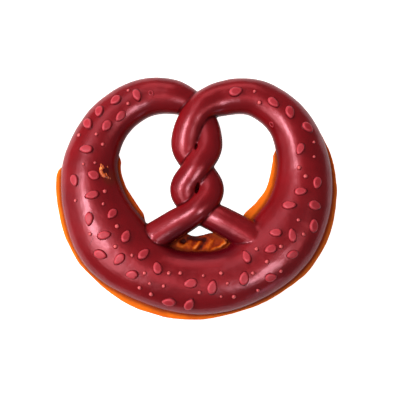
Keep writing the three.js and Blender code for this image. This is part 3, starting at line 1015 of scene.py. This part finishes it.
studio = {
    "floorSize": 4000,
    "floorTone": 0.6,
    "floorGlow": 1.1,           # keeps the floor white in the soft shadows, for the camera alone
    "floorBounce": 0.5,         # what the floor round the object adds to its outer sides
    "floorDark": (56, 48.6),    # the object's half sizes: under it the floor sends less light back
    "floorUnder": 0.25,         # this share of it, which grows to all of it between the next two shares
    "floorUnderTo": (0.6, 0.75),
    "world": (0.42, 0.2, 0.2),
    "target": (1.1, -1.1, 6),
    "cameraDistance": 600,
    "cameraElevation": 82,
    "lens": 135,
    "sensor": 36,
    "seenFrom": 10,             # what the camera sees is between these distances
    "seenTo": 10000,
    "lightDistance": 900,
    # each light is a square panel: its azimuth, elevation and spread in degrees, and what it adds to
    "lights": {
        "leftSoft": {"hangs": (180, 22, 30), "radiance": 13, "color": (1, 0.92, 0.92), "seenBy": "diffuse"},
        "backSoft": {"hangs": (120, 22, 30), "radiance": 6.2, "color": (1, 0.92, 0.92), "seenBy": "diffuse"},
        "topSoft": {"hangs": (180, 60, 30), "radiance": 3.8, "color": (1, 0.92, 0.92), "seenBy": "diffuse"},
        "keyCore": {"hangs": (176, 65, 12), "radiance": 30, "color": (0.85, 1, 0.97), "seenBy": "glossy"},
        "keyPanel": {"hangs": (180, 56, 24), "radiance": 4.2, "color": (1, 0.85, 0.8), "seenBy": "glossy"},
        "keyLower": {"hangs": (212, 54, 24), "radiance": 6, "color": (1, 0.75, 0.7), "seenBy": "glossy"},
        "keyHigh": {"hangs": (180, 76, 22), "radiance": 3.8, "color": (1, 0.25, 0.25), "seenBy": "glossy"},
        "backPanel": {"hangs": (90, 34, 24), "radiance": 3.3, "color": (1, 0.36, 0.35), "seenBy": "glossy"},
        "backHigh": {"hangs": (120, 56, 24), "radiance": 2.5, "color": (1, 0.56, 0.55), "seenBy": "glossy"},
        "fillCore": {"hangs": (312, 60, 13), "radiance": 20, "color": (0.85, 1, 0.97), "seenBy": "glossy"},
        "fillPanel": {"hangs": (330, 56, 24), "radiance": 3.2, "color": (1, 0.32, 0.28), "seenBy": "glossy"},
        "fillHigh": {"hangs": (300, 76, 22), "radiance": 2.3, "color": (1, 0.25, 0.25), "seenBy": "glossy"},
        "rimPanel": {"hangs": (304, 9, 11), "radiance": 2.6, "color": (0.95, 0.85, 1), "seenBy": "glossy"},
    },
}


def addFloor():
    bpy.ops.object.select_all(action="DESELECT")
    bpy.ops.mesh.primitive_plane_add(size=studio["floorSize"] * mm)
    floor = bpy.context.object
    floor.name = "floor"
    material, nodes, links, shader = newMaterial("paleFloor")
    shader.inputs["Roughness"].default_value = 1
    shader.inputs["Specular IOR Level"].default_value = 0
    shader.inputs["Emission Color"].default_value = (1, 1, 1, 1)
    halfX, halfY = studio["floorDark"]
    under, clear = studio["floorUnderTo"]
    place = nodes.new("ShaderNodeTexCoord")
    shrunk = addVectorMath(nodes, links, "MULTIPLY", place.outputs["Object"])
    shrunk.inputs[1].default_value = (1 / (halfX * mm), 1 / (halfY * mm), 0)
    away = addVectorMath(nodes, links, "LENGTH", shrunk.outputs["Vector"])
    lit = addNode(nodes, "ShaderNodeMapRange", **{"From Min": under, "From Max": clear,
                                                  "To Min": studio["floorUnder"]})
    links.new(away.outputs["Value"], lit.inputs["Value"])
    seen = nodes.new("ShaderNodeLightPath")
    for socket, forCamera, forBounce in (("Emission Strength", studio["floorGlow"], studio["floorBounce"]),
                                         ("Base Color", studio["floorTone"], studio["floorTone"])):
        bounce = nodes.new("ShaderNodeMath")
        bounce.operation = "MULTIPLY"
        bounce.inputs[1].default_value = forBounce
        links.new(lit.outputs["Result"], bounce.inputs[0])
        chosen = addNode(nodes, "ShaderNodeMapRange", **{"To Max": forCamera})
        links.new(seen.outputs["Is Camera Ray"], chosen.inputs["Value"])
        links.new(bounce.outputs["Value"], chosen.inputs["To Min"])
        links.new(chosen.outputs["Result"], shader.inputs[socket])
    floor.data.materials.append(material)


def towards(azimuth, elevation):
    azimuth, elevation = math.radians(azimuth), math.radians(elevation)
    return Vector((math.cos(azimuth) * math.cos(elevation), math.sin(azimuth) * math.cos(elevation),
                   math.sin(elevation)))


def addPanel(name, values):
    azimuth, elevation, spread = values["hangs"]
    away = towards(azimuth, elevation)
    distance = studio["lightDistance"] * mm
    light = bpy.data.lights.new(name, "AREA")
    light.shape = "SQUARE"
    light.size = 2 * distance * math.tan(math.radians(spread / 2))
    light.energy = values["radiance"] * math.pi * light.size ** 2
    light.color = values["color"]
    lamp = bpy.data.objects.new(name, light)
    lamp.location = Vector(studio["target"]) * mm + away * distance
    lamp.rotation_euler = away.to_track_quat("Z", "Y").to_euler()
    lamp.visible_glossy = values["seenBy"] == "glossy"
    lamp.visible_diffuse = values["seenBy"] == "diffuse"
    bpy.context.scene.collection.objects.link(lamp)


def addLights():
    for name, values in studio["lights"].items():
        addPanel(name, values)
    world = bpy.data.worlds.new("studio")
    bpy.context.scene.world = world
    world.use_nodes = True
    nodes, links = world.node_tree.nodes, world.node_tree.links
    seen = nodes.new("ShaderNodeLightPath")
    color = addRamp(nodes, links, seen.outputs["Is Camera Ray"], [(0, studio["world"]), (1, (1, 1, 1))])
    links.new(color, nodes["Background"].inputs["Color"])


def addCamera():
    elevation = math.radians(studio["cameraElevation"])
    away = Vector((0, -math.cos(elevation), math.sin(elevation)))
    camera = bpy.data.cameras.new("camera")
    camera.lens = studio["lens"]
    camera.sensor_width = studio["sensor"]
    camera.clip_start = studio["seenFrom"] * mm
    camera.clip_end = studio["seenTo"] * mm
    holder = bpy.data.objects.new("camera", camera)
    holder.location = Vector(studio["target"]) * mm + away * studio["cameraDistance"] * mm
    holder.rotation_euler = away.to_track_quat("Z", "Y").to_euler()
    bpy.context.scene.collection.objects.link(holder)
    bpy.context.scene.camera = holder
    bpy.context.scene.view_settings.view_transform = "Standard"


# putting it together

sections = ropeSections()
redBody = makeRedRope(sections)
print("red rope:", len(redBody.data.polygons), "faces")
orangeBody = makeOrangeBase(sections, redBody)
print("orange base:", len(orangeBody.data.polygons), "faces")
seedPiece = makeSeeds(redBody)
dropPiece = makeDrops(redBody)
chipRim = makeChipRim(redBody)
scratch = makeScratch(redBody)
print("seeds and drops:", len(seedPiece.data.polygons), "and", len(dropPiece.data.polygons), "faces")

unevenTone = makeToneGroup()
ellipseMask = makeMaskGroup()
for piece, material, node, slot in (
        (redBody, makeGlaze("redGlaze"), "red_layer", "red_layer"),
        (seedPiece, makeBeadFinish("seedFinish", beadFinish["seedStops"]), "red_layer", "red_layer"),
        (dropPiece, makeBeadFinish("dropFinish", beadFinish["dropStops"]), "red_layer", "red_layer"),
        (chipRim, makeTorn("tornFinish"), "red_layer", "red_layer"),
        (scratch, makeScratchFinish("scratchFinish"), "red_layer", "red_layer"),
        (orangeBody, makeOrange("orangeFinish"), "orange_layer", "orange_layer")):
    piece.data.materials.clear()
    piece.data.materials.append(material)
    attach(piece, "root")
    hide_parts(node)
print("each piece has its material")

addFloor()
addLights()
addCamera()
print("floor, lights and camera are in place")
